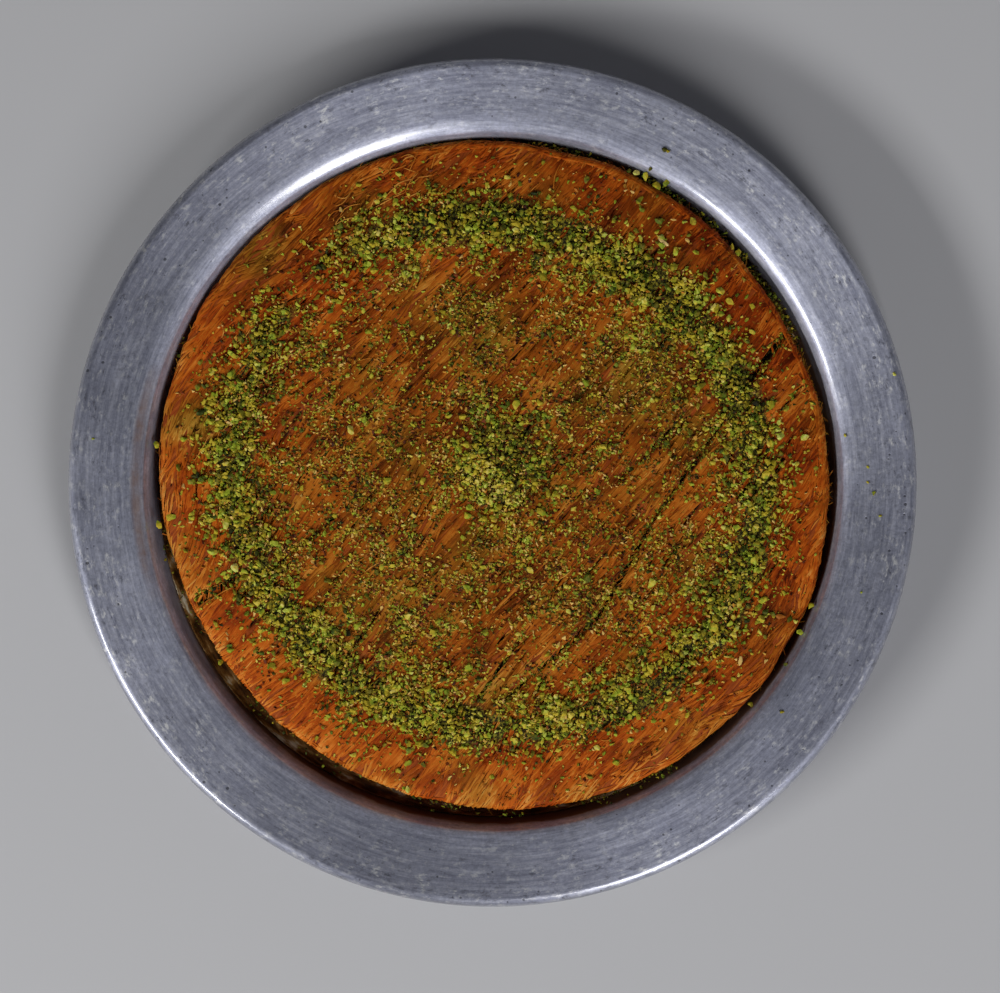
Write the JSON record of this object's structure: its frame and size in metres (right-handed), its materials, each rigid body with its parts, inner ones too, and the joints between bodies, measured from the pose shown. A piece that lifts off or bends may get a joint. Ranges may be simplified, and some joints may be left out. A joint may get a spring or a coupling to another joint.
{
  "type": "kunafa in a round metal tray",
  "caption": "Round of shredded pastry baked brown, strewn with chopped pistachio, in a shallow round aluminium tray with a broad flat rim.",
  "frame": {"origin": "middle of the tray's flat underside", "axes": "+Z up out of the tray; seen from above with +Y up, the pastry's strands run from lower left to upper right"},
  "size_m": [0.24, 0.24, 0.0216],
  "materials": {
    "aluminium": "pressed sheet, worn by use, with fine circular scratches",
    "baked_pastry": "baked shredded pastry, lightly glazed with syrup, with chopped pistachio on top"
  },
  "bodies": {
    "root": {"tray": "aluminium", "kunafa": "baked_pastry"}
  },
  "joints": []
}
